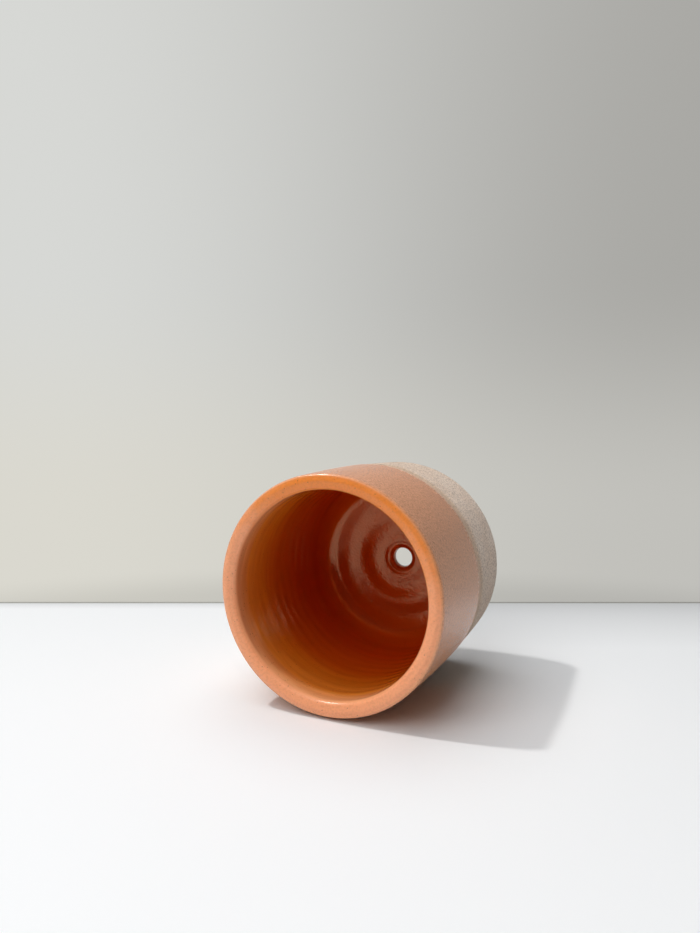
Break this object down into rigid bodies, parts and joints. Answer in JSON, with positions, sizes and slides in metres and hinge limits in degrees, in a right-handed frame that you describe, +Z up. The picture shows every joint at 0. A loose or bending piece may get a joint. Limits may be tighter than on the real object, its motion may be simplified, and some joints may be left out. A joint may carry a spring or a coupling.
{
  "type": "cylinder planter pot",
  "caption": "Straight round planter pot in thrown stoneware with a round heel, a flat rounded lip and a drain hole, glazed inside and part of the way down the outside.",
  "frame": {"origin": "centre of the foot ring, in the plane that the pot stands on", "axes": "+Z up the pot's axis and out of its mouth; +X and +Y alike, because the form is turned"},
  "size_m": [0.128, 0.128, 0.12],
  "materials": {
    "bare_stoneware": "matte, fired and unglazed, finely pitted",
    "amber_glaze": "glossy amber orange glaze with small dark iron specks"
  },
  "bodies": {
    "root": {"clay_body": "bare_stoneware", "glaze_coat": "amber_glaze"}
  },
  "joints": []
}
